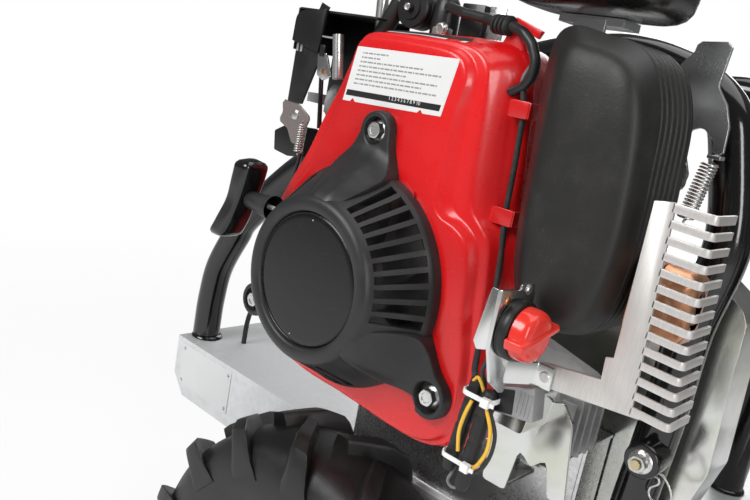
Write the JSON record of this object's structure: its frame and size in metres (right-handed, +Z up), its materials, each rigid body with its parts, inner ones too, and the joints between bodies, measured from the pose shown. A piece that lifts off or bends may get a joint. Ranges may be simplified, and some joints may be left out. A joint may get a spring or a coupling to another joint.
{
  "type": "cable laying machine",
  "caption": "Two-wheeled walk-behind machine with a small engine over a galvanised deck, tube hoops, handlebar, trench blade, wire reel and rear press wheel.",
  "frame": {"origin": "on the ground, under the centre of the machine's bounding box", "axes": "+Z up; the machine drives towards -X; the starter side faces -Y"},
  "size_m": [1.399, 0.6426, 0.993],
  "materials": {
    "zinc": "galvanised sheet",
    "red_paint": "gloss",
    "red_plastic": "gloss",
    "black_plastic": "fine grain",
    "black_paint": "gloss",
    "soft_rubber": "matte",
    "tyre_rubber": "matte",
    "cast_aluminium": "as cast",
    "bright_steel": "bright",
    "stainless": "satin",
    "tinted_steel": "heat tinted"
  },
  "bodies": {
    "chassis": {"badge_disc": "black_plastic", "belt_cover": "zinc", "carburettor": "cast_aluminium", "chain_case": "cast_aluminium", "control_box": "black_plastic", "control_cable": "black_plastic", "cover_bolt_1": "bright_steel", "cover_bolt_2": "bright_steel", "cover_bolt_3": "bright_steel", "crankcase": "cast_aluminium", "cylinder": "cast_aluminium", "deck": "zinc", "drive_belt": "soft_rubber", "engine_plate": "zinc", "engine_shroud": "red_paint", "exhaust_guard": "stainless", "fuel_tank": "black_plastic", "governor_spring": "bright_steel", "hoop_far": "black_paint", "hoop_near": "black_paint", "ignition_lead": "soft_rubber", "lead_grommet": "soft_rubber", "rear_frame": "zinc", "rocker_cover": "black_paint", "silencer": "tinted_steel", "silencer_cover": "black_plastic", "spark_plug_cap": "soft_rubber", "starter_cover": "black_plastic", "stop_switch_body": "black_plastic", "stop_wire": "black_plastic", "support_bracket": "zinc", "switch_bracket": "zinc", "tank_bracket": "black_paint", "tension_spring": "bright_steel", "wire_connectors": "black_plastic"},
    "wheelset": {"axle": "bright_steel", "rim_near": "black_paint", "rim_far": "black_paint", "tyre_near": "tyre_rubber", "tyre_far": "tyre_rubber"},
    "crank": {"flywheel": "cast_aluminium", "crankshaft": "bright_steel"},
    "drum": {"starter_drum": "black_plastic"},
    "pull_grip": {"recoil_grip": "black_plastic"},
    "knob": {"stop_knob": "red_plastic"},
    "cap": {"fuel_cap": "black_plastic"},
    "pulley": {"drive_pulley": "cast_aluminium"},
    "arm": {"throttle_arm": "zinc"},
    "belt_lever": {"tension_lever": "zinc"},
    "blade": {"trench_blade": "bright_steel"},
    "closing_wheel": {"press_wheel": "soft_rubber"},
    "reel": {"cable_reel": "black_plastic"},
    "handles": {"handlebar": "black_paint", "grip_near": "soft_rubber", "grip_far": "soft_rubber"},
    "hand_lever": {"clutch_lever": "black_plastic"},
    "thumb_lever": {"throttle_lever": "black_plastic"}
  },
  "joints": [
    {"name": "wheel_spin", "type": "hinge", "parent": "chassis", "child": "wheelset", "pos_m": [-0.3605, 0.0268, 0.201], "axis": [0, 1, 0], "continuous": true},
    {"name": "crank_spin", "type": "hinge", "parent": "chassis", "child": "crank", "pos_m": [-0.3265, -0.2082, 0.559], "axis": [0, 1, 0], "continuous": true},
    {"name": "drum_spin", "type": "hinge", "parent": "chassis", "child": "drum", "pos_m": [-0.3265, -0.2882, 0.559], "axis": [0, 1, 0], "range_deg": [-780, 0], "stiffness_Nm_per_rad": 0.033, "springref_deg": 229.18},
    {"name": "grip_pull", "type": "slide", "parent": "chassis", "child": "pull_grip", "axis": [-1, 0, 0], "range_m": [0, 0.45]},
    {"name": "stop_knob_turn", "type": "hinge", "parent": "chassis", "child": "knob", "pos_m": [-0.1565, -0.3067, 0.5845], "axis": [1, 0, 0], "range_deg": [0, 60]},
    {"name": "fuel_cap_turn", "type": "hinge", "parent": "chassis", "child": "cap", "pos_m": [-0.2215, -0.1892, 0.859], "axis": [0, 0, 1], "range_deg": [0, 120]},
    {"name": "drive_pulley_spin", "type": "hinge", "parent": "chassis", "child": "pulley", "pos_m": [-0.1735, -0.0732, 0.455], "axis": [0, 1, 0], "continuous": true},
    {"name": "throttle_arm_turn", "type": "hinge", "parent": "chassis", "child": "arm", "pos_m": [-0.4705, -0.2137, 0.654], "axis": [0, 1, 0], "range_deg": [0, 20], "deforming": ["governor_spring"]},
    {"name": "tension_lever_turn", "type": "hinge", "parent": "chassis", "child": "belt_lever", "pos_m": [-0.1565, -0.1567, 0.671], "axis": [0, 1, 0], "range_deg": [0, 6], "deforming": ["tension_spring"]},
    {"name": "blade_depth", "type": "slide", "parent": "chassis", "child": "blade", "axis": [0, 0, 1], "range_m": [-0.095, 0]},
    {"name": "press_wheel_spin", "type": "hinge", "parent": "chassis", "child": "closing_wheel", "pos_m": [0.2865, 0.0268, 0.09], "axis": [0, 1, 0], "continuous": true},
    {"name": "reel_spin", "type": "hinge", "parent": "chassis", "child": "reel", "pos_m": [0.1215, 0.0268, 0.54], "axis": [0, 1, 0], "continuous": true},
    {"name": "handlebar_tilt", "type": "hinge", "parent": "chassis", "child": "handles", "pos_m": [-0.0085, 0.0268, 0.4], "axis": [0, 1, 0], "range_deg": [-15, 15]},
    {"name": "clutch_lever_turn", "type": "hinge", "parent": "handles", "child": "hand_lever", "pos_m": [0.5565, -0.2132, 0.944], "axis": [0, 1, 0], "range_deg": [-8, 0], "stiffness_Nm_per_rad": 0.6, "springref_deg": 8.59},
    {"name": "throttle_lever_turn", "type": "hinge", "parent": "handles", "child": "thumb_lever", "pos_m": [0.5565, 0.2668, 0.9895], "axis": [0, 0, 1], "range_deg": [0, 60]}
  ],
  "couplings": [
    {"joint": "grip_pull", "follows": "drum_spin", "m_per_rad": -0.033},
    {"joint": "drive_pulley_spin", "follows": "wheel_spin", "ratio": 5},
    {"joint": "throttle_arm_turn", "follows": "throttle_lever_turn", "ratio": 0.3333},
    {"joint": "tension_lever_turn", "follows": "clutch_lever_turn", "ratio": -0.75}
  ]
}
